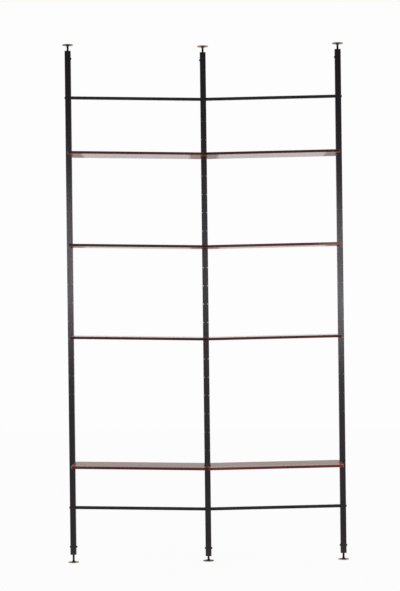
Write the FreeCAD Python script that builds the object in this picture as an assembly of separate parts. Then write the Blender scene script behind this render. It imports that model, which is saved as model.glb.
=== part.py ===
import FreeCAD, Part
import math
import os

# A bookcase held between floor and ceiling. Three black square tubes stand in line along X.
# Rails tie them together, and eight notched boards rest on pins that pass through the tubes.
# Every tube has a screw foot at each end. The boards run along X and the front faces -Y.
# The origin is on the floor, under the middle post's axis. All lengths are in millimetres.

# Posts: square steel tubes
post_pitch = 738.0
post_width = 32.0
post_depth = 32.0
post_wall = 2.0
post_corner_radius = 2.0
post_length = 2752.0

# Pin holes: two columns in each post, drilled through from front to back
hole_diameter = 4.2
hole_edge_distance = 4.5
hole_pitch = 100.0
hole_end_margin = 270.0

# How far each tube's end stands from the floor, and from the outer face of its upper foot
floor_gap_left = 44.7
floor_gap_middle = 28.5
floor_gap_right = 37.2
ceiling_gap = 35.0

# Pads: brass discs, recessed underneath for the stem's riveted end
pad_diameter = 60.0
pad_thickness = 4.0
pad_edge_radius = 1.5
pad_recess_depth = 1.8

# Stems: threaded rods with a conical collar that bears on the pad
stem_diameter = 12.0
stem_thread_length = 53.0
stem_tip_chamfer = 1.2
collar_base_diameter = 21.0
collar_height = 8.0
spigot_diameter = 8.0
rivet_diameter = 12.0
rivet_height = 1.2

# Plugs: threaded blocks in both ends of each tube
stem_bore_end_gap = 1.5
plug_bolt_web = 1.0
plug_inner_web = 9.0
set_screw_diameter = 6.0
set_screw_distance = 22.0
set_screw_setback = 0.5
set_screw_socket = 3.0
set_screw_socket_depth = 2.5

# Bolts across the lower plugs, screws into the upper ones
plug_bolt_diameter = 6.0
plug_bolt_head_diameter = 12.0
plug_bolt_head_height = 4.5
plug_screw_length = 24.0
nut_across_flats = 10.0
nut_height = 5.0
nut_thread_show = 0.5

# Rails: square tubes with a threaded insert in each end
rail_size = 16.0
rail_wall = 1.5
rail_corner_radius = 1.5
rail_end_distance = 256.0
insert_length = 30.0
rail_screw_diameter = 6.0
rail_screw_head_diameter = 13.0
rail_screw_head_height = 5.0
rail_screw_reach = 20.0

# The slot across every domed head
slot_width = 1.6
slot_depth = 1.8
head_rim = 1.2

# Shelves: notched boards, and the pins that carry them. A pin has a long head in front of the
# post and a thread behind it, where a sleeve of the head's size is screwed on.
board_depth = 268.0
board_thickness = 14.0
board_corner_radius = 26.0
board_arris_radius = 2.0
board_end_gap = 1.0
notch_side_clearance = 4.0
notch_face_clearance = 1.5
pin_diameter = 4.0
pin_tail_length = 16.0
pin_head_diameter = 8.0
pin_head_length = 22.0
pin_head_chamfer = 0.6
sleeve_bore_end_gap = 1.0

# The hole rows that carry the four shelves, as shares of the rows above or below mid-height
shelf_row_shares = (0.73, 0.27, -0.18, -0.82)

# Clearances
fastener_clearance = 0.1
thread_clearance = 0.05
turning_clearance = 0.05
rivet_clearance = 0.3
seat_clearance = 0.3
overrun = 5.0

# Places worked out from the sizes above
sides = ("left", "middle", "right")
ends = ("bottom", "top")
bays = {"left": ("left", "middle"), "right": ("middle", "right")}
post_x = dict(zip(sides, (-post_pitch, 0.0, post_pitch)))
tube_bottom = dict(zip(sides, (floor_gap_left, floor_gap_middle, floor_gap_right)))
tube_middle = {side: tube_bottom[side] + post_length / 2 for side in sides}
rail_level = post_length / 2 - rail_end_distance
rail_heights = {"bottom": -rail_level, "top": rail_level}
hole_offset = post_width / 2 - hole_edge_distance
hole_rows = int((post_length / 2 - hole_end_margin) / hole_pitch)
shelf_rows = [round(share * hole_rows) for share in shelf_row_shares]
foot_height = pad_thickness + collar_height
end_gap = {("bottom", side): tube_bottom[side] for side in sides}
end_gap.update({("top", side): ceiling_gap for side in sides})
deepest_stem = stem_thread_length - (min(end_gap.values()) - foot_height)
stem_bore_depth = deepest_stem + stem_bore_end_gap
plug_bolt_distance = stem_bore_depth + plug_bolt_web + plug_bolt_diameter / 2
plug_length = plug_bolt_distance + plug_bolt_diameter / 2 + plug_inner_web
plug_width = post_width - 2 * post_wall
plug_depth = post_depth - 2 * post_wall

origin = FreeCAD.Vector(0, 0, 0)
x_axis = FreeCAD.Vector(1, 0, 0)
y_axis = FreeCAD.Vector(0, 1, 0)
z_axis = FreeCAD.Vector(0, 0, 1)


def save(name, solids):
    """Write one node: a single solid, or a group of like pieces kept as separate solids."""
    shape = solids[0] if len(solids) == 1 else Part.makeCompound(solids)
    shape.exportStep("parts/" + name + ".step")


def moved(shape, x, y, z):
    """A copy of a shape, shifted."""
    copy = shape.copy()
    copy.translate(FreeCAD.Vector(x, y, z))
    return copy


def centred_box(width, depth, z_low, z_high):
    """A block centred on the Z axis, between two heights."""
    corner = FreeCAD.Vector(-width / 2, -depth / 2, z_low)
    return Part.makeBox(width, depth, z_high - z_low, corner)


def rod_x(radius, x_low, x_high, y, z):
    return Part.makeCylinder(radius, x_high - x_low, FreeCAD.Vector(x_low, y, z), x_axis)


def rod_y(radius, y_low, y_high, x, z):
    return Part.makeCylinder(radius, y_high - y_low, FreeCAD.Vector(x, y_low, z), y_axis)


def rod_z(radius, z_low, z_high):
    return Part.makeCylinder(radius, z_high - z_low, FreeCAD.Vector(0, 0, z_low), z_axis)


def rounded_face(width, depth, radius):
    """A flat rectangle with round corners, centred on the origin in the XY plane."""
    half_x = width / 2
    half_y = depth / 2
    edges = []
    for quarter in range(4):
        sign_x = (1, -1, -1, 1)[quarter]
        sign_y = (1, 1, -1, -1)[quarter]
        centre = FreeCAD.Vector(sign_x * (half_x - radius), sign_y * (half_y - radius), 0)
        start = 90 * quarter
        edges.append(Part.makeCircle(radius, centre, z_axis, start, start + 90))
    joined = []
    for number, arc in enumerate(edges):
        following = edges[(number + 1) % 4]
        joined.append(arc)
        joined.append(Part.makeLine(arc.Vertexes[-1].Point, following.Vertexes[0].Point))
    return Part.Face(Part.Wire(joined))


def domed_head(diameter, height):
    """A slotted, domed screw head that stands on the YZ plane and points along +X."""
    radius = diameter / 2
    rim_corner = FreeCAD.Vector(head_rim, 0, radius)
    crown = FreeCAD.Vector(height, 0, 0)
    half_way = FreeCAD.Vector(
        head_rim + (height - head_rim) * math.sin(math.radians(45)),
        0,
        radius * math.cos(math.radians(45)),
    )
    outline = Part.Wire(
        [
            Part.makeLine(origin, FreeCAD.Vector(0, 0, radius)),
            Part.makeLine(FreeCAD.Vector(0, 0, radius), rim_corner),
            Part.Arc(rim_corner, half_way, crown).toShape(),
            Part.makeLine(crown, origin),
        ]
    )
    head = Part.Face(outline).revolve(origin, x_axis, 360)
    slot = Part.makeBox(
        height,
        diameter + 2 * overrun,
        slot_width,
        FreeCAD.Vector(height - slot_depth, -radius - overrun, -slot_width / 2),
    )
    return head.cut(slot)


def domed_screw(diameter, head_diameter, head_height, shank_length):
    """A screw along X with the underside of its head at the origin and its shank along -X."""
    shank = rod_x(diameter / 2, -shank_length, 0, 0, 0)
    return shank.fuse(domed_head(head_diameter, head_height)).removeSplitter()


def facing_minus_x(shape):
    """The same piece turned half way round, so that its head points along -X."""
    return shape.rotated(origin, z_axis, 180)


def at_tube_end(shape, end, side):
    """Seat a piece drawn with +Z pointing out of the tube at one end of one post."""
    if end == "top":
        return moved(shape, post_x[side], 0, tube_bottom[side] + post_length)
    return moved(shape.rotated(origin, y_axis, 180), post_x[side], 0, tube_bottom[side])


# Posts. Each is a square tube with its pin holes, its fixing holes for the plugs
# at both ends, and a hole in each side at the height of each rail.
def post_cutters(side):
    """Every hole drilled in one post, drawn with the tube's mid-length at the origin."""
    cutters = []
    front = -post_depth / 2 - overrun
    back = post_depth / 2 + overrun
    left = -post_width / 2 - overrun
    right = post_width / 2 + overrun
    for row in range(-hole_rows, hole_rows + 1):
        for offset in (-hole_offset, hole_offset):
            cutters.append(rod_y(hole_diameter / 2, front, back, offset, row * hole_pitch))
    bolt_height = post_length / 2 - plug_bolt_distance
    bolt_hole = plug_bolt_diameter / 2 + fastener_clearance
    cutters.append(rod_x(bolt_hole, left, right, 0, -bolt_height))
    if side == "left":
        cutters.append(rod_x(bolt_hole, 0, right, 0, bolt_height))
    else:
        cutters.append(rod_x(bolt_hole, left, 0, 0, bolt_height))
    set_screw_hole = set_screw_diameter / 2 + fastener_clearance
    cutters.append(rod_y(set_screw_hole, front, 0, 0, post_length / 2 - set_screw_distance))
    for height in rail_heights.values():
        cutters.append(rod_x(rail_screw_diameter / 2 + fastener_clearance, left, right, 0, height))
    return cutters


def post(side):
    tube = rounded_face(post_width, post_depth, post_corner_radius).extrude(z_axis * post_length)
    hollow = centred_box(plug_width, plug_depth, -overrun, post_length + overrun)
    tube = moved(tube.cut(hollow), 0, 0, -post_length / 2)
    return moved(tube.cut(post_cutters(side)), post_x[side], 0, tube_middle[side])


for side in sides:
    save("post_" + side, [post(side)])


# Plugs. Each is a steel block that fills the tube's end, bored and threaded for the stem
# and crossed by its fixing bolt. The upper ones also take the screw that locks the stem.
def plug(end):
    """A plug drawn with +Z pointing out of the tube and the tube's end at zero."""
    block = centred_box(plug_width, plug_depth, -plug_length, 0)
    bore = rod_z(stem_diameter / 2 + turning_clearance, -stem_bore_depth, overrun)
    reach = plug_width / 2 + overrun
    bolt_hole = plug_bolt_diameter / 2 + thread_clearance
    cross_hole = rod_x(bolt_hole, -reach, reach, 0, -plug_bolt_distance)
    block = block.cut([bore, cross_hole])
    if end == "bottom":
        return block
    lock_hole = set_screw_diameter / 2 + thread_clearance
    front = -plug_depth / 2 - overrun
    return block.cut(rod_y(lock_hole, front, 0, 0, -set_screw_distance))


for end in ends:
    for side in sides:
        save("plug_" + end + "_" + side, [at_tube_end(plug(end), end, side)])


# Stems. Each is a threaded rod with a conical collar, and below the collar a spigot that
# passes through the pad and is riveted over in the pad's recess, so that the pad can turn.
def stem(gap):
    """A stem drawn with +Z pointing out of the tube, for one gap from tube end to pad face."""
    collar_low = gap - foot_height
    pad_low = gap - pad_thickness
    rivet_low = gap - pad_recess_depth
    thread_end = collar_low - stem_thread_length
    radius = stem_diameter / 2
    chamfer = Part.makeCone(
        radius - stem_tip_chamfer,
        radius,
        stem_tip_chamfer,
        FreeCAD.Vector(0, 0, thread_end),
        z_axis,
    )
    thread = rod_z(radius, thread_end + stem_tip_chamfer, collar_low)
    collar = Part.makeCone(
        radius, collar_base_diameter / 2, collar_height, FreeCAD.Vector(0, 0, collar_low), z_axis
    )
    spigot = rod_z(spigot_diameter / 2, pad_low, rivet_low)
    rivet = rod_z(rivet_diameter / 2, rivet_low, rivet_low + rivet_height)
    return chamfer.fuse([thread, collar, spigot, rivet]).removeSplitter()


# Pads. Each is a flat brass disc with a rounded rim and a recess in its outer face.
def pad(gap):
    """A pad drawn with +Z pointing out of the tube and its outer face at the gap."""
    disc = rod_z(pad_diameter / 2, gap - pad_thickness, gap)
    rims = [edge for edge in disc.Edges if edge.Closed]
    disc = disc.makeFillet(pad_edge_radius, rims)
    hole = rod_z(spigot_diameter / 2 + turning_clearance, gap - pad_thickness - overrun, gap)
    recess = rod_z(rivet_diameter / 2 + rivet_clearance, gap - pad_recess_depth, gap + overrun)
    return disc.cut([hole, recess])


for (end, side), gap in end_gap.items():
    save("stem_" + end + "_" + side, [at_tube_end(stem(gap), end, side)])
    save("pad_" + end + "_" + side, [at_tube_end(pad(gap), end, side)])


# Fixings of the plugs. A bolt and nut cross each lower plug from side to side. Each upper
# plug has a shorter screw from one side, and a socket screw in front that locks the stem.
def plug_bolt():
    shank = post_width + nut_height - nut_thread_show
    return domed_screw(plug_bolt_diameter, plug_bolt_head_diameter, plug_bolt_head_height, shank)


def plug_screw():
    return domed_screw(
        plug_bolt_diameter, plug_bolt_head_diameter, plug_bolt_head_height, plug_screw_length
    )


def nut():
    """A hexagon nut that stands on the YZ plane and points along +X."""
    corner_radius = nut_across_flats / 2 / math.cos(math.radians(30))
    corners = []
    for step in range(7):
        angle = math.radians(60 * step)
        corners.append(
            FreeCAD.Vector(0, corner_radius * math.cos(angle), corner_radius * math.sin(angle))
        )
    block = Part.Face(Part.makePolygon(corners)).extrude(x_axis * nut_height)
    hole = plug_bolt_diameter / 2 + thread_clearance
    return block.cut(rod_x(hole, -overrun, nut_height + overrun, 0, 0))


def set_screw():
    """A socket screw drawn along +Y from the front face of the post towards the stem."""
    front = -post_depth / 2 + set_screw_setback
    tip = -stem_diameter / 2 - seat_clearance
    screw = rod_y(set_screw_diameter / 2, front, tip, 0, 0)
    socket = rod_y(set_screw_socket / 2, front - overrun, front + set_screw_socket_depth, 0, 0)
    return screw.cut(socket)


foot_bolts = []
foot_nuts = []
top_screws = []
lock_screws = []
for side in sides:
    low_bolt_z = tube_bottom[side] + plug_bolt_distance
    high_bolt_z = tube_bottom[side] + post_length - plug_bolt_distance
    lock_z = tube_bottom[side] + post_length - set_screw_distance
    face_left = post_x[side] - post_width / 2
    face_right = post_x[side] + post_width / 2
    foot_bolts.append(moved(facing_minus_x(plug_bolt()), face_left, 0, low_bolt_z))
    foot_nuts.append(moved(nut(), face_right, 0, low_bolt_z))
    if side == "left":
        top_screws.append(moved(plug_screw(), face_right, 0, high_bolt_z))
    else:
        top_screws.append(moved(facing_minus_x(plug_screw()), face_left, 0, high_bolt_z))
    lock_screws.append(moved(set_screw(), post_x[side], 0, lock_z))
save("bottom_plug_bolts", foot_bolts)
save("bottom_plug_nuts", foot_nuts)
save("top_plug_screws", top_screws)
save("stem_lock_screws", lock_screws)


# Rails. Each runs straight from one post's side to the next, so it slopes where two posts
# stand at different heights. Its ends are cut upright, and each holds a threaded insert.
def rail_path(level, bay):
    """Where a rail starts, and the run from there to its other end."""
    first, second = bays[bay]
    start = FreeCAD.Vector(
        post_x[first] + post_width / 2, 0, tube_middle[first] + rail_heights[level]
    )
    finish = FreeCAD.Vector(
        post_x[second] - post_width / 2, 0, tube_middle[second] + rail_heights[level]
    )
    return start, finish - start


def square_face(size):
    half = size / 2
    signs = ((-1, -1), (1, -1), (1, 1), (-1, 1), (-1, -1))
    return Part.Face(Part.makePolygon([FreeCAD.Vector(x * half, y * half, 0) for x, y in signs]))


def upright_square(size, radius, centre):
    """A square section in an upright plane across X."""
    face = rounded_face(size, size, radius) if radius else square_face(size)
    face = face.rotated(origin, y_axis, 90)
    face.translate(centre)
    return face


def rail(level, bay):
    start, run = rail_path(level, bay)
    outside = upright_square(rail_size, rail_corner_radius, start).extrude(run)
    inside = upright_square(rail_size - 2 * rail_wall, 0, start).extrude(run)
    return outside.cut(inside)


def rail_insert(level, bay, which):
    """A block that fills one end of a rail, with a level hole for its screw."""
    start, run = rail_path(level, bay)
    stretch = run * (insert_length / run.x)
    near = start if which == "first" else start + run - stretch
    block = upright_square(rail_size - 2 * rail_wall, 0, near).extrude(stretch)
    height = start.z if which == "first" else start.z + run.z
    hole = rail_screw_diameter / 2 + thread_clearance
    end_x = near.x if which == "first" else near.x + stretch.x
    return block.cut(rod_x(hole, end_x - insert_length, end_x + insert_length, 0, height))


rail_screws = []
rail_studs = []
for level in ends:
    for bay, (first, second) in bays.items():
        name = level + "_" + bay
        save("rail_" + name, [rail(level, bay)])
        save("rail_insert_" + name + "_a", [rail_insert(level, bay, "first")])
        save("rail_insert_" + name + "_b", [rail_insert(level, bay, "second")])
    outer_shank = post_width + rail_screw_reach
    screw = domed_screw(
        rail_screw_diameter, rail_screw_head_diameter, rail_screw_head_height, outer_shank
    )
    left_z = tube_middle["left"] + rail_heights[level]
    middle_z = tube_middle["middle"] + rail_heights[level]
    right_z = tube_middle["right"] + rail_heights[level]
    outer_face = post_pitch + post_width / 2
    rail_screws.append(moved(facing_minus_x(screw), -outer_face, 0, left_z))
    rail_screws.append(moved(screw, outer_face, 0, right_z))
    stud_half = post_width / 2 + rail_screw_reach
    rail_studs.append(rod_x(rail_screw_diameter / 2, -stud_half, stud_half, 0, middle_z))
save("rail_screws", rail_screws)
save("rail_studs", rail_studs)


# Shelves. Each board has a notch in both ends that fits around half of a post, so that
# two boards meet on the middle post's axis. It rests on a pin through each post beside it,
# on the pin's head in front of the post and on the pin's sleeve behind.
def board():
    """A board drawn level, centred, with its underside just above the heads of its pins."""
    length = post_pitch - 2 * board_end_gap
    low = pin_head_diameter / 2 + seat_clearance
    plank = rounded_face(length, board_depth, board_corner_radius)
    plank = moved(plank.extrude(z_axis * board_thickness), 0, 0, low)
    rims = [edge for face in plank.Faces if abs(face.normalAt(0, 0).z) > 0.5 for edge in face.Edges]
    plank = plank.makeFillet(board_arris_radius, rims)
    notch_reach = post_width / 2 + notch_side_clearance - board_end_gap
    notch_width = post_depth + 2 * notch_face_clearance
    top = low + board_thickness
    for end_sign in (-1, 1):
        notch = centred_box(2 * notch_reach, notch_width, low - overrun, top + overrun)
        plank = plank.cut(moved(notch, end_sign * length / 2, 0, 0))
    return plank


def pin():
    """A pin along Y with its head against the front of the post."""
    face = -post_depth / 2
    head = rod_y(pin_head_diameter / 2, face - pin_head_length, face, 0, 0)
    head = head.makeChamfer(pin_head_chamfer, [edge for edge in head.Edges if edge.Closed])
    rod = rod_y(pin_diameter / 2, face - pin_head_length / 2, -face + pin_tail_length, 0, 0)
    return head.fuse(rod).removeSplitter()


def sleeve():
    """The piece screwed onto a pin's tail, against the back of the post."""
    face = post_depth / 2
    body = rod_y(pin_head_diameter / 2, face, face + pin_head_length, 0, 0)
    body = body.makeChamfer(pin_head_chamfer, [edge for edge in body.Edges if edge.Closed])
    bore_end = face + pin_tail_length + sleeve_bore_end_gap
    return body.cut(rod_y(pin_diameter / 2 + thread_clearance, face - overrun, bore_end, 0, 0))


for number, row in enumerate(shelf_rows, start=1):
    pins = []
    sleeves = []
    for bay, (first, second) in bays.items():
        start = FreeCAD.Vector(post_x[first] + hole_offset, 0, tube_middle[first] + row * hole_pitch)
        finish = FreeCAD.Vector(post_x[second] - hole_offset, 0, tube_middle[second] + row * hole_pitch)
        run = finish - start
        slope = math.degrees(math.atan2(run.z, run.x))
        centre = (start + finish) / 2
        shelf = moved(board().rotated(origin, y_axis, -slope), centre.x, 0, centre.z)
        save("shelf_" + str(number) + "_" + bay, [shelf])
        for place in (start, finish):
            pins.append(moved(pin(), place.x, 0, place.z))
            sleeves.append(moved(sleeve(), place.x, 0, place.z))
    save("shelf_pins_" + str(number), pins)
    save("shelf_pin_sleeves_" + str(number), sleeves)
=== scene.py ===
import math

import bmesh
import bpy
from mathutils import Matrix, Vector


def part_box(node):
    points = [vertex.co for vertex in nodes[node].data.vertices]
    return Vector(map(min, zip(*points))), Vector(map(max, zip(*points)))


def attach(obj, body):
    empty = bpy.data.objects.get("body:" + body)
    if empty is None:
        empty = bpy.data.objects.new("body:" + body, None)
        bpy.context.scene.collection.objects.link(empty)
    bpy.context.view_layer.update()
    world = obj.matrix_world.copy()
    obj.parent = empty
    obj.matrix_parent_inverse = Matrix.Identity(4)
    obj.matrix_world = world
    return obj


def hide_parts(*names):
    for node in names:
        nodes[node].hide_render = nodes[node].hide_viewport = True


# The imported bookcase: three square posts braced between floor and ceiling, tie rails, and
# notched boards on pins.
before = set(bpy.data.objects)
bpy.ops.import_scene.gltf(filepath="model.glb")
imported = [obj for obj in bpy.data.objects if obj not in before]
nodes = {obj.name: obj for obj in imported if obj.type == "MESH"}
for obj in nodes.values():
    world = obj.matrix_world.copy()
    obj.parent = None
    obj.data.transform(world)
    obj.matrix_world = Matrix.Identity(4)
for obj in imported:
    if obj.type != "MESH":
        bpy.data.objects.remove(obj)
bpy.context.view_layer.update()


# Square steel tubes, 32 mm, drawn and welded, drilled from front to back in two columns for
# the shelf pins, then sprayed with satin black lacquer, which is rubbed thin along the corners.
SIDES = ("left", "middle", "right")
POST_TONE = (0.0110, 0.0085, 0.0108, 1.0)
POST_ROUGHNESSES = (0.19, 0.24)
POST_RUB = {"width": 0.0011, "breaks_per_m": 90.0, "amount": 0.75}
POST_DUST = 0.35
LACQUER_RUB_TONE = (0.034, 0.028, 0.025, 1.0)
LACQUER_GLINT_TONE = (1.0, 0.92, 1.0, 1.0)
LACQUER_PEEL_PER_M = 520.0
LACQUER_PEEL_DEPTH = 0.00002
MID_GREYS = (0.3, 0.7)


def add(tree, kind, inputs=None, **settings):
    """One shader node, with its settings, and its inputs set to a value or fed from a socket."""
    made = tree.nodes.new(kind)
    for key, value in settings.items():
        setattr(made, key, value)
    for key, value in (inputs or {}).items():
        if isinstance(value, bpy.types.NodeSocket):
            tree.links.new(value, made.inputs[key])
        else:
            made.inputs[key].default_value = value
    return made


def maths(tree, operation, *values, clamp=False):
    inputs = dict(enumerate(values))
    return add(tree, "ShaderNodeMath", inputs, operation=operation, use_clamp=clamp).outputs[0]


def vector_maths(tree, operation, *values):
    made = add(tree, "ShaderNodeVectorMath", dict(enumerate(values)), operation=operation)
    return made.outputs["Value"] if operation in ("LENGTH", "DOT_PRODUCT") else made.outputs[0]


def parts_of(tree, vector):
    """The X, Y and Z of a vector."""
    return add(tree, "ShaderNodeSeparateXYZ", {0: vector}).outputs


def ramp(tree, value, low, high, out_low=0.0, out_high=1.0):
    """A smooth step of one number between two limits."""
    inputs = {"Value": value, "From Min": low, "From Max": high}
    inputs.update({"To Min": out_low, "To Max": out_high})
    return add(tree, "ShaderNodeMapRange", inputs, interpolation_type="SMOOTHSTEP").outputs["Result"]


def blend_colours(tree, share, first, second, mode="MIX"):
    """A Mix node for colours, whose colour sockets are its inputs 6 and 7 and its output 2."""
    made = add(tree, "ShaderNodeMix", data_type="RGBA", blend_type=mode)
    for socket, value in zip((made.inputs[0], made.inputs[6], made.inputs[7]), (share, first, second)):
        if isinstance(value, bpy.types.NodeSocket):
            tree.links.new(value, socket)
        else:
            socket.default_value = value
    return made.outputs[2]


def noise(tree, place, scale=1.0, detail=2.0, roughness=0.5):
    inputs = {"Vector": place, "Scale": scale, "Detail": detail, "Roughness": roughness}
    return add(tree, "ShaderNodeTexNoise", inputs).outputs["Fac"]


def effect(name, inputs, outputs):
    """An empty node group with named sockets: its tree, its input sockets and its output node."""
    tree = bpy.data.node_groups.new(name, "ShaderNodeTree")
    kinds = {"F": "NodeSocketFloat", "V": "NodeSocketVector"}
    for label, kind in inputs:
        tree.interface.new_socket(label, in_out="INPUT", socket_type=kinds[kind])
    for label, kind in outputs:
        tree.interface.new_socket(label, in_out="OUTPUT", socket_type=kinds[kind])
    entry = tree.nodes.new("NodeGroupInput")
    return tree, entry.outputs, tree.nodes.new("NodeGroupOutput")


def place_effect(tree, group, **inputs):
    """A node group placed in a material. Its input names are written here with underscores."""
    named = {key.replace("_", " "): value for key, value in inputs.items()}
    return add(tree, "ShaderNodeGroup", named, node_tree=group).outputs


def new_material(name, metallic=0.0, **plain):
    """A material with a Principled shader, the row-frame place of each point and its normal."""
    made = bpy.data.materials.new(name)
    made.use_nodes = True
    tree = made.node_tree
    shader = tree.nodes["Principled BSDF"]
    shader.inputs["Metallic"].default_value = metallic
    for key, value in plain.items():
        shader.inputs[key.replace("_", " ")].default_value = value
    place = add(tree, "ShaderNodeTexCoord").outputs["Object"]
    facing = add(tree, "ShaderNodeNewGeometry").outputs["Normal"]
    return made, tree, shader, place, facing


def finish_material(tree, shader, colour, roughness, height, depth):
    tree.links.new(colour, shader.inputs["Base Color"])
    tree.links.new(roughness, shader.inputs["Roughness"])
    relief = add(tree, "ShaderNodeBump", {"Height": height, "Strength": 1.0, "Distance": depth})
    tree.links.new(relief.outputs["Normal"], shader.inputs["Normal"])


def dress(names, material):
    for name in names:
        nodes[name].data.materials.clear()
        nodes[name].data.materials.append(material)


# Rub along the edges of a block: a mask from the distance to its nearest edge, broken up.
RUB_BREAK_GREYS = (0.35, 0.75)
RUB_REACH_SHARES = (0.15, 2.0)
edge_rub, given, out = effect(
    "Rub along edges",
    (("Place", "V"), ("Half size", "V"), ("Width", "F"), ("Break per m", "F"), ("Amount", "F")),
    (("Mask", "F"),),
)
inside = vector_maths(edge_rub, "SUBTRACT", given["Half size"],
                      vector_maths(edge_rub, "ABSOLUTE", given["Place"]))
depths = parts_of(edge_rub, inside)
nearer = maths(edge_rub, "MINIMUM", depths[0], depths[1])
further = maths(edge_rub, "MAXIMUM", depths[0], depths[1])
from_edge = maths(edge_rub, "MAXIMUM", nearer, maths(edge_rub, "MINIMUM", further, depths[2]))
broken = noise(edge_rub, given["Place"], given["Break per m"], detail=4.0, roughness=0.65)
broken = ramp(edge_rub, broken, *RUB_BREAK_GREYS, *RUB_REACH_SHARES)
reach = maths(edge_rub, "MULTIPLY", given["Width"], broken)
near_edge = maths(edge_rub, "SUBTRACT", 1.0, maths(edge_rub, "DIVIDE", from_edge, reach), clamp=True)
rub_mask = maths(edge_rub, "MULTIPLY", near_edge, given["Amount"], clamp=True)
edge_rub.links.new(rub_mask, out.inputs["Mask"])

# The skin of a sprayed coat: fine peel as a height, and a slow drift of its gloss.
DRIFTS_PER_M = (9.0, 9.0, 2.2)
spray_skin, given, out = effect(
    "Sprayed skin", (("Place", "V"), ("Peel per m", "F")), (("Height", "F"), ("Drift", "F"))
)
peel = noise(spray_skin, given["Place"], given["Peel per m"], detail=1.5, roughness=0.4)
spray_skin.links.new(peel, out.inputs["Height"])
stretched = vector_maths(spray_skin, "MULTIPLY", given["Place"], DRIFTS_PER_M)
spray_skin.links.new(noise(spray_skin, stretched, detail=3.0, roughness=0.55), out.inputs["Drift"])

# Dust on whatever faces up.
DUST_TONE = (0.16, 0.145, 0.13, 1.0)
DUST_FACINGS = (0.55, 0.98)
DUST_PATCHES_PER_M = 38.0
DUST_PATCH_GREYS = (0.3, 0.75)
DUST_PATCH_SHARES = (0.35, 1.0)
settled_dust, given, out = effect(
    "Settled dust", (("Place", "V"), ("Facing", "V"), ("Amount", "F")), (("Mask", "F"),)
)
lying = ramp(settled_dust, parts_of(settled_dust, given["Facing"])[2], *DUST_FACINGS)
patches = noise(settled_dust, given["Place"], DUST_PATCHES_PER_M, detail=5.0, roughness=0.7)
patches = ramp(settled_dust, patches, *DUST_PATCH_GREYS, *DUST_PATCH_SHARES)
dusty = maths(settled_dust, "MULTIPLY", lying, patches)
dusty = maths(settled_dust, "MULTIPLY", dusty, given["Amount"])
settled_dust.links.new(dusty, out.inputs["Mask"])


def block_place(tree, place, node, slope=0.0):
    """A point's place counted from the middle of a node, along the node's own length."""
    low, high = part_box(node)
    inputs = {"Vector": place, "Location": (low + high) / 2, "Rotation": (0.0, slope, 0.0)}
    return add(tree, "ShaderNodeMapping", inputs, vector_type="TEXTURE").outputs[0]


def lacquer_tube(node, label, tone, roughnesses, half_size, rub, dust_amount, slope=0.0):
    """Sprayed black lacquer on one tube, rubbed along its edges and dusty where it faces up."""
    material, tree, shader, place, facing = new_material(label, Specular_Tint=LACQUER_GLINT_TONE)
    own_place = block_place(tree, place, node, slope)
    skin = place_effect(tree, spray_skin, Place=place, Peel_per_m=LACQUER_PEEL_PER_M)
    rubbed = place_effect(tree, edge_rub, Place=own_place, Half_size=half_size, Width=rub["width"],
                          Break_per_m=rub["breaks_per_m"], Amount=rub["amount"])["Mask"]
    dust = place_effect(tree, settled_dust, Place=place, Facing=facing, Amount=dust_amount)["Mask"]
    colour = blend_colours(tree, rubbed, tone, LACQUER_RUB_TONE)
    colour = blend_colours(tree, dust, colour, DUST_TONE)
    roughness = ramp(tree, skin["Drift"], *MID_GREYS, *roughnesses)
    finish_material(tree, shader, colour, roughness, skin["Height"], LACQUER_PEEL_DEPTH)
    dress([node], material)


for side in SIDES:
    low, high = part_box("post_" + side)
    lacquer_tube("post_" + side, "Black post lacquer, " + side, POST_TONE, POST_ROUGHNESSES,
                 (high - low) / 2, POST_RUB, POST_DUST)


# Steel blocks pressed into the tube ends and held by the cross bolts, milled in one pass and
# left bare, dulled by oil and handling. Only their outer faces show. The threaded inserts in
# the rails and the studs that join them, all hidden, are of the same steel.
ENDS = ("bottom", "top")
BAYS = {"left": ("left", "middle"), "right": ("middle", "right")}
PLUG_TONE = (0.30, 0.29, 0.28, 1.0)
PLUG_OIL_TONE = (0.11, 0.095, 0.08, 1.0)
PLUG_OIL_PATCHES_PER_M = 60.0
PLUG_OIL_GREYS = (0.42, 0.66)
PLUG_CUT_STRETCH = (1.0, 30.0, 30.0)
PLUG_CUTS_PER_M = 140.0
PLUG_CUT_DEPTH = 0.00002
PLUG_ROUGHNESSES = (0.32, 0.46)

material, tree, shader, place, facing = new_material("Milled steel", metallic=1.0)
cuts = vector_maths(tree, "MULTIPLY", place, PLUG_CUT_STRETCH)
cuts = noise(tree, cuts, PLUG_CUTS_PER_M, detail=2.0, roughness=0.6)
oil = ramp(tree, noise(tree, place, PLUG_OIL_PATCHES_PER_M, detail=4.0, roughness=0.6), *PLUG_OIL_GREYS)
colour = blend_colours(tree, oil, PLUG_TONE, PLUG_OIL_TONE)
roughness = ramp(tree, cuts, *MID_GREYS, *PLUG_ROUGHNESSES)
finish_material(tree, shader, colour, roughness, cuts, PLUG_CUT_DEPTH)
dress(["plug_%s_%s" % (end, side) for end in ENDS for side in SIDES], material)
dress(["rail_insert_%s_%s_%s" % (end, bay, which) for end in ENDS for bay in BAYS for which in "ab"],
      material)
dress(["rail_studs"], material)


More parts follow.
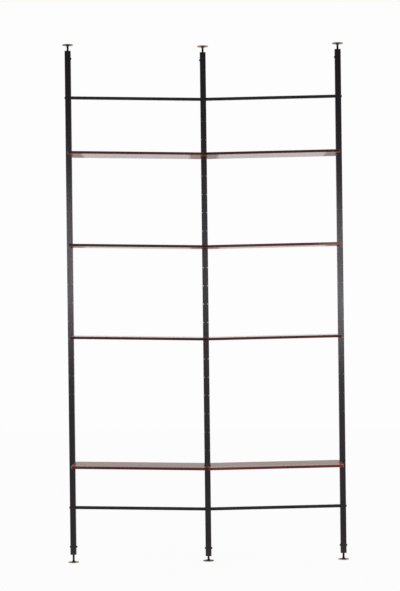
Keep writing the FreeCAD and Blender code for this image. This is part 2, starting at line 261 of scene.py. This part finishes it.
# Threaded steel rods, 12 mm with a 1.75 mm lead, browned, with a conical collar that bears on
# the pad and a spigot riveted over below it. The thread is cut here turn by turn.
THREAD_RADIUS = 0.006
THREAD_LEAD = 0.00175
THREAD_PROFILE = (0.0, 0.0, 0.5, 1.0, 1.0, 0.5)
THREAD_DEPTH = 0.00095
THREAD_RUN = 0.053
THREAD_RUN_IN = 0.0015
THREAD_RUN_OUT = 0.0012
THREAD_UNDERCUT = 0.0003
THREAD_SEGMENTS = 48
TIP_SHARE = 0.55
COLLAR_PROFILE = (
    (0.0, 0.0058), (0.0006, 0.0062), (0.0072, 0.0100), (0.0078, 0.0104), (0.0080, 0.0104),
)
SPIGOT_PROFILE = (
    (0.0080, 0.0040), (0.0102, 0.0040), (0.0102, 0.0057), (0.0107, 0.0060), (0.0111, 0.0057),
    (0.0114, 0.0048),
)
COLLAR_HEIGHT = COLLAR_PROFILE[-1][0]
SMOOTH_BELOW_DEGREES = 35.0
SAME_POINT = 0.000002
STEM_TONE = (0.076, 0.050, 0.036, 1.0)
STEM_WORN_TONE = (0.20, 0.122, 0.070, 1.0)
STEM_WEAR_PER_M = 420.0
STEM_WEAR_GREYS = (0.45, 0.75)
STEM_ROUGHNESSES = (0.34, 0.50)
STEM_METALLIC = 0.85
STEM_RINGS_PER_M = 5200.0
STEM_RING_DEPTH = 0.00003
UPRIGHT = (0.0, 0.0, 1.0)


def stem_rings():
    """Rings of points from the tip of the thread to the rivet, along +Z, with the collar at zero."""
    steps = len(THREAD_PROFILE)
    pitch_step = THREAD_LEAD / steps
    first = -THREAD_RUN
    core = THREAD_RADIUS - THREAD_DEPTH - THREAD_UNDERCUT
    rings = [[(THREAD_RADIUS * TIP_SHARE, first)] * THREAD_SEGMENTS]
    count = int(THREAD_RUN / pitch_step) + 1
    for row in range(-steps, count + 1):
        crest = THREAD_RADIUS - THREAD_DEPTH * (1.0 - THREAD_PROFILE[row % steps])
        ring = []
        for segment in range(THREAD_SEGMENTS):
            along = (row + steps * segment / THREAD_SEGMENTS) * pitch_step
            height = min(max(first + along, first), 0.0)
            ease = min(1.0, (height - first) / THREAD_RUN_IN, -height / THREAD_RUN_OUT)
            ring.append((core + (crest - core) * max(ease, 0.0), height))
        rings.append(ring)
    for height, radius in COLLAR_PROFILE + SPIGOT_PROFILE:
        rings.append([(radius, height)] * THREAD_SEGMENTS)
    return rings


def lathe_mesh(name, rings, shear, shear_rows):
    """A closed skin through rings of (radius, height) points. In the sheared rows, which form a
    thread, a turn ends one lead above where it began, so the seam joins rows that far apart."""
    work = bmesh.new()
    count = len(rings[0])
    rows = []
    for ring in rings:
        row = []
        for number, (radius, height) in enumerate(ring):
            angle = 2 * math.pi * number / count
            row.append(work.verts.new((radius * math.cos(angle), radius * math.sin(angle), height)))
        rows.append(row)
    low, high = shear_rows
    for index in range(len(rows) - 1):
        for number in range(count):
            over = 0 if number + 1 < count else shear
            lower = index
            upper = index + 1
            if over and low <= index <= high:
                lower = min(index + over, high)
                upper = min(index + 1 + over, high)
            follow = (number + 1) % count
            corners = (rows[index][number], rows[lower][follow],
                       rows[upper][follow], rows[index + 1][number])
            if len(set(corners)) == 4:
                work.faces.new(corners)
            elif len(set(corners)) == 3:
                work.faces.new(list(dict.fromkeys(corners)))
    work.faces.new(list(reversed(rows[0])))
    work.faces.new(rows[-1])
    bmesh.ops.remove_doubles(work, verts=work.verts, dist=SAME_POINT)
    bmesh.ops.dissolve_degenerate(work, edges=work.edges, dist=SAME_POINT)
    bmesh.ops.recalc_face_normals(work, faces=work.faces)
    mesh = bpy.data.meshes.new(name)
    work.to_mesh(mesh)
    work.free()
    return mesh


def smooth_by_angle(mesh, degrees):
    work = bmesh.new()
    work.from_mesh(mesh)
    for face in work.faces:
        face.smooth = True
    for edge in work.edges:
        edge.smooth = not edge.is_manifold or edge.calc_face_angle() < math.radians(degrees)
    work.to_mesh(mesh)
    work.free()


def new_piece(name, mesh, matrix, material, body, replaced):
    """A piece set in place in the row frame, riding on a body in place of a CAD node."""
    mesh.transform(matrix)
    piece = bpy.data.objects.new(name, mesh)
    bpy.context.scene.collection.objects.link(piece)
    mesh.materials.append(material)
    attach(piece, body)
    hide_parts(replaced)


# Marks left by the lathe: fine rings about one axis, as a height, and their drift in tone.
RING_TONES_PER_M = 260.0
turned_rings, given, out = effect(
    "Turned rings",
    (("Place", "V"), ("Centre", "V"), ("Along", "V"), ("Rings per m", "F")),
    (("Height", "F"), ("Tone", "F")),
)
arm = vector_maths(turned_rings, "SUBTRACT", given["Place"], given["Centre"])
along = vector_maths(turned_rings, "DOT_PRODUCT", arm, given["Along"])
radius = maths(turned_rings, "SUBTRACT", vector_maths(turned_rings, "DOT_PRODUCT", arm, arm),
               maths(turned_rings, "MULTIPLY", along, along))
radius = maths(turned_rings, "SQRT", maths(turned_rings, "MAXIMUM", radius, 0.0))
cut_line = add(turned_rings, "ShaderNodeCombineXYZ", {0: radius, 1: along}).outputs[0]
ring_height = noise(turned_rings, cut_line, given["Rings per m"], detail=2.0, roughness=0.6)
turned_rings.links.new(ring_height, out.inputs["Height"])
ring_tone = noise(turned_rings, cut_line, RING_TONES_PER_M, detail=3.0, roughness=0.6)
turned_rings.links.new(ring_tone, out.inputs["Tone"])

for end in ENDS:
    for side in SIDES:
        label = "%s_%s" % (end, side)
        low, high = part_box("stem_" + label)
        middle = (low + high) / 2
        material, tree, shader, place, facing = new_material(
            "Browned steel, " + label.replace("_", " "), metallic=STEM_METALLIC)
        rings = place_effect(tree, turned_rings, Place=place, Centre=(middle.x, middle.y, 0.0),
                             Along=UPRIGHT, Rings_per_m=STEM_RINGS_PER_M)
        worn = noise(tree, place, STEM_WEAR_PER_M, detail=4.0, roughness=0.7)
        worn = ramp(tree, worn, *STEM_WEAR_GREYS)
        colour = blend_colours(tree, worn, STEM_TONE, STEM_WORN_TONE)
        roughness = ramp(tree, rings["Tone"], *MID_GREYS, *STEM_ROUGHNESSES)
        finish_material(tree, shader, colour, roughness, rings["Height"], STEM_RING_DEPTH)
        skin_rings = stem_rings()
        last_thread_row = len(skin_rings) - len(COLLAR_PROFILE + SPIGOT_PROFILE) - 1
        mesh = lathe_mesh("stem_" + label, skin_rings, len(THREAD_PROFILE), (1, last_thread_row))
        smooth_by_angle(mesh, SMOOTH_BELOW_DEGREES)
        pad_low, pad_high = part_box("pad_" + label)
        if end == "top":
            matrix = Matrix.Translation((middle.x, middle.y, pad_low.z - COLLAR_HEIGHT))
        else:
            matrix = Matrix.Translation((middle.x, middle.y, pad_high.z + COLLAR_HEIGHT))
            matrix = matrix @ Matrix.Rotation(math.pi, 4, "X")
        new_piece("threaded_stem_" + label, mesh, matrix, material, "foot_stem_" + label,
                  "stem_" + label)


# Brass discs, 60 mm, turned from bar with a rounded rim, that bear on the floor and the
# ceiling. The brass has gone dull and brown in patches, and is darker towards the hubs. How dark
# each disc is differs, and the darker upper discs carry painted shade.
PAD_TONE = (0.74, 0.62, 0.47, 1.0)
PAD_TARNISH_AND_SHADE_TONE = (0.15, 0.115, 0.088, 1.0)
# How dark each disc is made: the higher amounts on the upper discs are painted shade.
PAD_TARNISH_AND_SHADE = {
    "bottom": {"left": 0.10, "middle": 0.38, "right": 0.16},
    "top": {"left": 0.46, "middle": 0.42, "right": 0.55},
}
PAD_TARNISH_AND_SHADE_GREYS = (0.62, 1.12)
PAD_PATCHES_PER_M = 75.0
PAD_RING_SHARE = 0.35
PAD_HUB_REACH = (0.009, 0.029)
PAD_HUB_DARKENING = (0.16, -0.14)
PAD_ROUGHNESSES = (0.26, 0.45)
PAD_RINGS_PER_M = 3400.0
PAD_RING_DEPTH = 0.00002

for end in ENDS:
    for side in SIDES:
        name = "pad_%s_%s" % (end, side)
        low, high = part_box(name)
        middle = (low + high) / 2
        material, tree, shader, place, facing = new_material(
            "Aged brass, %s %s" % (end, side), metallic=1.0)
        rings = place_effect(tree, turned_rings, Place=place, Centre=(middle.x, middle.y, 0.0),
                             Along=UPRIGHT, Rings_per_m=PAD_RINGS_PER_M)
        patches = noise(tree, place, PAD_PATCHES_PER_M, detail=5.0, roughness=0.65)
        patches = maths(tree, "MULTIPLY_ADD", rings["Tone"], PAD_RING_SHARE, patches)
        arm = vector_maths(tree, "SUBTRACT", place, tuple(middle))
        from_hub = ramp(tree, vector_maths(tree, "LENGTH", arm), *PAD_HUB_REACH, *PAD_HUB_DARKENING)
        # Tarnish patches, a darkening towards the hub, and each disc's own amount, which is painted
        # shade on the upper discs.
        tarnish_and_shade = maths(tree, "ADD", patches, from_hub)
        tarnish_and_shade = ramp(tree, maths(tree, "ADD", tarnish_and_shade, PAD_TARNISH_AND_SHADE[end][side]), *PAD_TARNISH_AND_SHADE_GREYS)
        colour = blend_colours(tree, tarnish_and_shade, PAD_TONE, PAD_TARNISH_AND_SHADE_TONE)
        roughness = ramp(tree, tarnish_and_shade, 0.0, 1.0, *PAD_ROUGHNESSES)
        finish_material(tree, shader, colour, roughness, rings["Height"], PAD_RING_DEPTH)
        dress([name], material)


# Domed slotted bolts across the lower plugs, each with a hexagon nut, shorter screws into the
# upper plugs, the socket screws that lock the upper stems, and the domed screws that hold the
# rails from outside. All are blackened steel.
FIXING_TONE = (0.016, 0.014, 0.015, 1.0)
FIXING_WORN_TONE = (0.085, 0.075, 0.068, 1.0)
FIXING_WEAR_PER_M = 300.0
FIXING_WEAR_GREYS = (0.52, 0.78)
FIXING_DUST = 0.3
FIXING_METALLIC = 0.4
FIXING_ROUGHNESSES = (0.46, 0.33)
FIXING_GRIT_PER_M = 2600.0
FIXING_GRIT_DEPTH = 0.00002

material, tree, shader, place, facing = new_material("Blackened steel", metallic=FIXING_METALLIC)
worn = ramp(tree, noise(tree, place, FIXING_WEAR_PER_M, detail=5.0, roughness=0.7), *FIXING_WEAR_GREYS)
dust = place_effect(tree, settled_dust, Place=place, Facing=facing, Amount=FIXING_DUST)["Mask"]
colour = blend_colours(tree, worn, FIXING_TONE, FIXING_WORN_TONE)
colour = blend_colours(tree, dust, colour, DUST_TONE)
roughness = ramp(tree, worn, 0.0, 1.0, *FIXING_ROUGHNESSES)
grit = noise(tree, place, FIXING_GRIT_PER_M, detail=2.0, roughness=0.5)
finish_material(tree, shader, colour, roughness, grit, FIXING_GRIT_DEPTH)
dress(["bottom_plug_bolts", "bottom_plug_nuts", "top_plug_screws", "stem_lock_screws", "rail_screws"],
      material)


# Square steel tubes, 16 mm, that tie the posts near the top and near the bottom. They are
# lacquered as the posts are, a little duller and in a darker tone that is painted shade, and
# are held by screws from outside and by studs through the middle post.
RAIL_HALF_WIDTH = 0.008
# The posts' lacquer in a darker tone: the difference is painted shade.
RAIL_SHADED_TONE = (0.0045, 0.0040, 0.0048, 1.0)
RAIL_ROUGHNESSES = (0.36, 0.44)
RAIL_RUB = {"width": 0.0009, "breaks_per_m": 110.0, "amount": 0.7}
RAIL_DUST = 0.45


def slope_between(first, second):
    """How far a line between two posts leans, from the heights at which the posts stand."""
    first_low, first_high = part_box("post_" + first)
    second_low, second_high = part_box("post_" + second)
    run = (second_low.x + second_high.x - first_low.x - first_high.x) / 2
    return math.atan2(second_low.z - first_low.z, run)


for end in ENDS:
    for bay, (first, second) in BAYS.items():
        name = "rail_%s_%s" % (end, bay)
        low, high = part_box(name)
        half_size = ((high.x - low.x) / 2, RAIL_HALF_WIDTH, RAIL_HALF_WIDTH)
        lacquer_tube(name, "Black rail lacquer, %s %s" % (end, bay), RAIL_SHADED_TONE, RAIL_ROUGHNESSES,
                     half_size, RAIL_RUB, RAIL_DUST, -slope_between(first, second))


# Turned steel pins through the posts: a long head in front, and a sleeve of the same size
# screwed on behind. The boards rest on both.
PIN_TONE = (0.070, 0.060, 0.056, 1.0)
PIN_WORN_TONE = (0.20, 0.18, 0.165, 1.0)
PIN_WEAR_PER_M = 210.0
PIN_WEAR_GREYS = (0.5, 0.8)
PIN_METALLIC = 0.9
PIN_ROUGHNESSES = (0.30, 0.42)
PIN_AXIS = (0.0, 1.0, 0.0)
PIN_BANDS_PER_M = 3800.0
PIN_BAND_DEPTH = 0.00002
SHELF_NUMBERS = (1, 2, 3, 4)

material, tree, shader, place, facing = new_material("Dark turned steel", metallic=PIN_METALLIC)
along_pin = vector_maths(tree, "MULTIPLY", place, PIN_AXIS)
bands = noise(tree, along_pin, PIN_BANDS_PER_M, detail=2.0, roughness=0.6)
worn = ramp(tree, noise(tree, place, PIN_WEAR_PER_M, detail=4.0, roughness=0.7), *PIN_WEAR_GREYS)
colour = blend_colours(tree, worn, PIN_TONE, PIN_WORN_TONE)
roughness = ramp(tree, bands, *MID_GREYS, *PIN_ROUGHNESSES)
finish_material(tree, shader, colour, roughness, bands, PIN_BAND_DEPTH)
dress(["%s_%d" % (piece, number) for piece in ("shelf_pins", "shelf_pin_sleeves")
       for number in SHELF_NUMBERS], material)


# Solid boards, 14 mm, glued up from staves, with rounded corners and a notch in each end that
# fits half way round a post. Stained dark red and varnished, smoothest on top and dull below
# beside the posts. The front edges are darker and redder than the faces, by an amount that
# differs from board to board, and one board's front edge grows paler towards its right end.
# Another board's front strip is paler all round, which is painted light.
BOARD_HALF_SIZE = (0.368, 0.134, 0.007)
STAVE_WIDTH = 0.070
WOOD_LIGHT_TONE = (0.350, 0.070, 0.038, 1.0)
WOOD_DARK_TONE = (0.145, 0.033, 0.017, 1.0)
WOOD_PORE_TONE = (0.028, 0.010, 0.008, 1.0)
WOOD_EDGE_TONE = (0.40, 0.22, 0.30)
WOOD_RUB_TONE = (0.30, 0.12, 0.07, 1.0)
WOOD_PALE_EDGE_END_TONE = (0.30, 0.125, 0.072, 1.0)
WOOD_GLINT_TONE = (1.0, 0.72, 0.66, 1.0)
WOOD_RELIEF_DEPTH = 0.00001
FIBRE_SHARE_GREYS = (0.35, 0.70)
FIBRE_SHARES = (0.0, 0.45)
PORE_SHARE = 0.7
JOINT_SHARE = 0.5
BOARD_RUB = {"width": 0.0012, "breaks_per_m": 70.0, "amount": 0.45}
BOARD_DUST = 0.10
# One board's front edge grows paler towards its right end.
PALE_EDGE_END_BOARD = "shelf_2_right"
PALE_EDGE_END_REACH = (0.18, 0.35)
# One board's front strip is made paler all round: painted light along its front.
PAINTED_LIGHT_BOARD = "shelf_4_right"
PAINTED_LIGHT_REACH = (-0.072, -0.068)
PAINTED_LIGHT_GAIN = (1.9, 2.7, 2.6, 1.0)
# How dark and red each board's front edge is made; it differs from board to board.
EDGE_PALENESS = {
    "left": (0.68, 0.56, 0.48, 0.92),
    "right": (0.44, 1.15, 0.66, 0.78),
}
BOARD_ROUGHNESSES = (0.17, 0.24)
EDGE_ROUGHNESS = 0.22
TOP_POLISH = 0.09
DULL_ROUGHNESS = 0.19
DULL_REACH = (0.280, 0.305)
EDGE_FACINGS = (0.35, 0.85)
TOP_FACINGS = (0.5, 0.9)
UNDER_FACINGS = (-0.9, -0.5)

# The figure of sawn wood along X: broad growth bands, fine fibre lines and open pores.
STAVE_SHIFTS = (7.0, 3.0, 2.0)
STAVE_TONE_SPREAD = 0.22
BENDS_PER_M = (1.1, 6.0, 6.0)
BEND_SIZE = 9.0
BANDS_PER_M = (1.6, 34.0, 34.0)
BAND_GREYS = (0.28, 0.72)
FIBRES_PER_M = (26.0, 900.0, 900.0)
PORES_PER_M = (95.0, 1900.0, 1900.0)
PORE_GREYS = (0.66, 0.74)
HALF_STAVE = 0.5
JOINT_REACH = (0.0, 0.006)
wood_figure, given, out = effect(
    "Figure of sawn wood",
    (("Place", "V"), ("Number", "F"), ("Stave width", "F")),
    (("Band", "F"), ("Pores", "F"), ("Fibre", "F"), ("Joint", "F")),
)
across = maths(wood_figure, "DIVIDE", parts_of(wood_figure, given["Place"])[1], given["Stave width"])
stave = maths(wood_figure, "FLOOR", across)
seed = add(wood_figure, "ShaderNodeCombineXYZ", {0: stave, 1: given["Number"]}).outputs[0]
chance = add(wood_figure, "ShaderNodeTexWhiteNoise", {"Vector": seed}, noise_dimensions="3D").outputs
shifted = vector_maths(wood_figure, "ADD", given["Place"],
                       vector_maths(wood_figure, "MULTIPLY", chance["Color"], STAVE_SHIFTS))
bend = vector_maths(wood_figure, "MULTIPLY", shifted, BENDS_PER_M)
bend = maths(wood_figure, "MULTIPLY", noise(wood_figure, bend, detail=2.0, roughness=0.5), BEND_SIZE)
bent = vector_maths(wood_figure, "ADD", vector_maths(wood_figure, "MULTIPLY", shifted, BANDS_PER_M),
                    add(wood_figure, "ShaderNodeCombineXYZ", {1: bend}).outputs[0])
bands = ramp(wood_figure, noise(wood_figure, bent, detail=3.0, roughness=0.6), *BAND_GREYS)
stave_tone = maths(wood_figure, "MULTIPLY_ADD", chance["Value"],
                   STAVE_TONE_SPREAD, -STAVE_TONE_SPREAD / 2)
wood_figure.links.new(maths(wood_figure, "ADD", bands, stave_tone, clamp=True), out.inputs["Band"])
fine = vector_maths(wood_figure, "MULTIPLY", shifted, FIBRES_PER_M)
wood_figure.links.new(noise(wood_figure, fine, detail=3.0, roughness=0.6), out.inputs["Fibre"])
pore_place = vector_maths(wood_figure, "MULTIPLY", shifted, PORES_PER_M)
pores = ramp(wood_figure, noise(wood_figure, pore_place, detail=1.0, roughness=0.5), *PORE_GREYS)
wood_figure.links.new(pores, out.inputs["Pores"])
from_joint = maths(wood_figure, "PINGPONG", across, HALF_STAVE)
wood_figure.links.new(ramp(wood_figure, from_joint, *JOINT_REACH, 1.0, 0.0), out.inputs["Joint"])

for number in SHELF_NUMBERS:
    for bay, (first, second) in BAYS.items():
        name = "shelf_%d_%s" % (number, bay)
        material, tree, shader, place, facing = new_material(
            "Red varnished wood, shelf %d %s" % (number, bay), Specular_Tint=WOOD_GLINT_TONE)
        own_place = block_place(tree, place, name, -slope_between(first, second))
        board_number = 2.0 * number + (bay == "right")
        figure = place_effect(tree, wood_figure, Place=own_place, Number=board_number,
                              Stave_width=STAVE_WIDTH)
        rubbed = place_effect(tree, edge_rub, Place=own_place, Half_size=BOARD_HALF_SIZE,
                              Width=BOARD_RUB["width"], Break_per_m=BOARD_RUB["breaks_per_m"],
                              Amount=BOARD_RUB["amount"])["Mask"]
        dust = place_effect(tree, settled_dust, Place=place, Facing=facing, Amount=BOARD_DUST)["Mask"]
        along, back = parts_of(tree, own_place)[:2]
        level = parts_of(tree, facing)[2]
        on_edge = ramp(tree, maths(tree, "ABSOLUTE", level), *EDGE_FACINGS, 1.0, 0.0)
        on_top = ramp(tree, level, *TOP_FACINGS)
        below = ramp(tree, level, *UNDER_FACINGS, 1.0, 0.0)

        fibre_share = ramp(tree, figure["Fibre"], *FIBRE_SHARE_GREYS, *FIBRE_SHARES)
        pore_share = maths(tree, "MULTIPLY", figure["Pores"], PORE_SHARE)
        joint_share = maths(tree, "MULTIPLY", figure["Joint"], JOINT_SHARE)
        colour = blend_colours(tree, figure["Band"], WOOD_LIGHT_TONE, WOOD_DARK_TONE)
        colour = blend_colours(tree, fibre_share, colour, WOOD_DARK_TONE)
        colour = blend_colours(tree, pore_share, colour, WOOD_PORE_TONE)
        colour = blend_colours(tree, joint_share, colour, WOOD_PORE_TONE)
        # Painted light: the front strip is brightened, as if lit from above while the board above
        # shades the back.
        if name == PAINTED_LIGHT_BOARD:
            painted_light_strip = ramp(tree, back, *PAINTED_LIGHT_REACH, 1.0, 0.0)
            colour = blend_colours(tree, painted_light_strip, colour, PAINTED_LIGHT_GAIN, "MULTIPLY")
        paleness = EDGE_PALENESS[bay][number - 1]
        edge_tone = tuple(share * paleness for share in WOOD_EDGE_TONE) + (1.0,)
        colour = blend_colours(tree, on_edge, colour, edge_tone, "MULTIPLY")
        # The front edge of this board grows paler towards its right end.
        if name == PALE_EDGE_END_BOARD:
            pale_edge_end = maths(tree, "MULTIPLY", ramp(tree, along, *PALE_EDGE_END_REACH), on_edge)
            pale_edge_end_colour = blend_colours(tree, fibre_share, WOOD_PALE_EDGE_END_TONE, WOOD_DARK_TONE)
            colour = blend_colours(tree, pale_edge_end, colour, pale_edge_end_colour)
        colour = blend_colours(tree, rubbed, colour, WOOD_RUB_TONE)
        colour = blend_colours(tree, dust, colour, DUST_TONE)

        beside_post = ramp(tree, maths(tree, "ABSOLUTE", along), *DULL_REACH)
        dull = maths(tree, "MULTIPLY", beside_post, below)
        roughness = ramp(tree, figure["Fibre"], *MID_GREYS, *BOARD_ROUGHNESSES)
        roughness = maths(tree, "MULTIPLY_ADD", on_edge, EDGE_ROUGHNESS, roughness)
        roughness = maths(tree, "MULTIPLY_ADD", on_top, -TOP_POLISH, roughness)
        roughness = maths(tree, "MULTIPLY_ADD", dull, DULL_ROUGHNESS, roughness)
        relief = maths(tree, "SUBTRACT", figure["Fibre"], figure["Pores"])
        finish_material(tree, shader, colour, roughness, relief, WOOD_RELIEF_DEPTH)
        dress([name], material)


# A plain pale floor and backdrop, white to the camera, with even soft light from all round. In
# gloss the backdrop fades upwards and the room in front is dim. Three soft lamps in a row, just
# behind the camera and a little above it, put a sheen on the posts at eye height.
WHITE = (1.0, 1.0, 1.0, 1.0)
WHITE_LEVEL = 0.982
FLOOR_HALF_SIZE = 9.0
FLOOR_DROP = 0.0003
FLOOR_TONE = (0.52, 0.52, 0.52, 1.0)
FLOOR_WHITE_SHARE = 0.95
FLOOR_GLOSS_REACH = (-0.9, 0.2)
FADE_HEIGHTS = (0.03, 0.13)
FADE_LEVELS = (WHITE_LEVEL, 0.345)
ROOM_REACH = (-0.25, 0.35)
ROOM_SHARES = (0.20, 1.0)
AMBIENT_HEIGHTS = (-0.6, 0.9)
AMBIENT_LEVELS = (0.60, 0.96)
LAMPS = ((-1.5, 1.82, 19.0), (0.0, 1.75, 3.0), (1.5, 1.60, 22.0))
LAMP_PLANE = -9.2
LAMP_WIDTH = 0.5
LAMP_HEIGHT = 0.9

floor_mesh = bpy.data.meshes.new("floor")
plan = ((-1, -1), (1, -1), (1, 1), (-1, 1))
floor_mesh.from_pydata(
    [(x * FLOOR_HALF_SIZE, y * FLOOR_HALF_SIZE, -FLOOR_DROP) for x, y in plan], [], [(0, 1, 2, 3)])
floor = bpy.data.objects.new("floor", floor_mesh)
bpy.context.scene.collection.objects.link(floor)

floor_material = bpy.data.materials.new("Pale floor")
floor_material.use_nodes = True
tree = floor_material.node_tree
tree.nodes.clear()
rays = add(tree, "ShaderNodeLightPath").outputs
matt = add(tree, "ShaderNodeBsdfDiffuse", {"Color": FLOOR_TONE}).outputs[0]
white = add(tree, "ShaderNodeEmission", {"Color": WHITE, "Strength": 1.0}).outputs[0]
back = parts_of(tree, add(tree, "ShaderNodeTexCoord").outputs["Object"])[1]
in_gloss = maths(tree, "MULTIPLY", rays["Is Glossy Ray"], ramp(tree, back, *FLOOR_GLOSS_REACH))
seen = maths(tree, "MAXIMUM", in_gloss, rays["Is Transmission Ray"])
seen = maths(tree, "MAXIMUM", rays["Is Camera Ray"], seen)
share = maths(tree, "MULTIPLY", seen, FLOOR_WHITE_SHARE)
mixed = add(tree, "ShaderNodeMixShader", {0: share, 1: matt, 2: white}).outputs[0]
add(tree, "ShaderNodeOutputMaterial", {"Surface": mixed})
floor_mesh.materials.append(floor_material)

world = bpy.data.worlds.new("Soft room")
bpy.context.scene.world = world
world.use_nodes = True
tree = world.node_tree
tree.nodes.clear()
rays = add(tree, "ShaderNodeLightPath").outputs
back, up = parts_of(tree, add(tree, "ShaderNodeTexCoord").outputs["Generated"])[1:]
paper = ramp(tree, up, *FADE_HEIGHTS, *FADE_LEVELS)
backdrop = maths(tree, "MULTIPLY", paper, ramp(tree, back, *ROOM_REACH, *ROOM_SHARES))
ambient = ramp(tree, up, *AMBIENT_HEIGHTS, *AMBIENT_LEVELS)
seen_white = maths(tree, "MAXIMUM", rays["Is Camera Ray"], rays["Is Transmission Ray"])
inputs = {0: rays["Is Glossy Ray"], 2: ambient, 3: backdrop}
level = add(tree, "ShaderNodeMix", inputs, data_type="FLOAT").outputs[0]
inputs = {0: seen_white, 2: level, 3: WHITE_LEVEL}
level = add(tree, "ShaderNodeMix", inputs, data_type="FLOAT").outputs[0]
glow = add(tree, "ShaderNodeBackground", {"Color": WHITE, "Strength": level}).outputs[0]
add(tree, "ShaderNodeOutputWorld", {"Surface": glow})

for along, height, strength in LAMPS:
    lamp = bpy.data.lights.new("soft lamp", "AREA")
    lamp.shape = "RECTANGLE"
    lamp.size = LAMP_WIDTH
    lamp.size_y = LAMP_HEIGHT
    lamp.energy = strength * math.pi * LAMP_WIDTH * LAMP_HEIGHT
    holder = bpy.data.objects.new("soft lamp", lamp)
    place = Matrix.Translation((along, LAMP_PLANE, height))
    holder.matrix_world = place @ Matrix.Rotation(math.pi / 2, 4, "X")
    bpy.context.scene.collection.objects.link(holder)


# The camera stands level at eye height, 8.85 m from the posts' front faces, with a long lens,
# and leans over by under one degree, as in the photograph.
CAMERA_PLACE = (0.0, -8.866, 1.4271)
CAMERA_LEAN = 0.01187
CAMERA_SENSOR_MM = 36.0
CAMERA_LENS_MM = 98.75
CAMERA_SHIFT = (-0.00939, 0.0076)
CAMERA_REACH = 200.0

camera = bpy.data.cameras.new("camera")
camera.sensor_width = CAMERA_SENSOR_MM
camera.lens = CAMERA_LENS_MM
camera.shift_x, camera.shift_y = CAMERA_SHIFT
camera.clip_end = CAMERA_REACH
viewpoint = bpy.data.objects.new("camera", camera)
viewpoint.matrix_world = (Matrix.Translation(CAMERA_PLACE) @ Matrix.Rotation(CAMERA_LEAN, 4, "Y")
                          @ Matrix.Rotation(math.pi / 2, 4, "X"))
bpy.context.scene.collection.objects.link(viewpoint)
bpy.context.scene.camera = viewpoint
bpy.context.scene.view_settings.view_transform = "Standard"

bpy.context.view_layer.update()
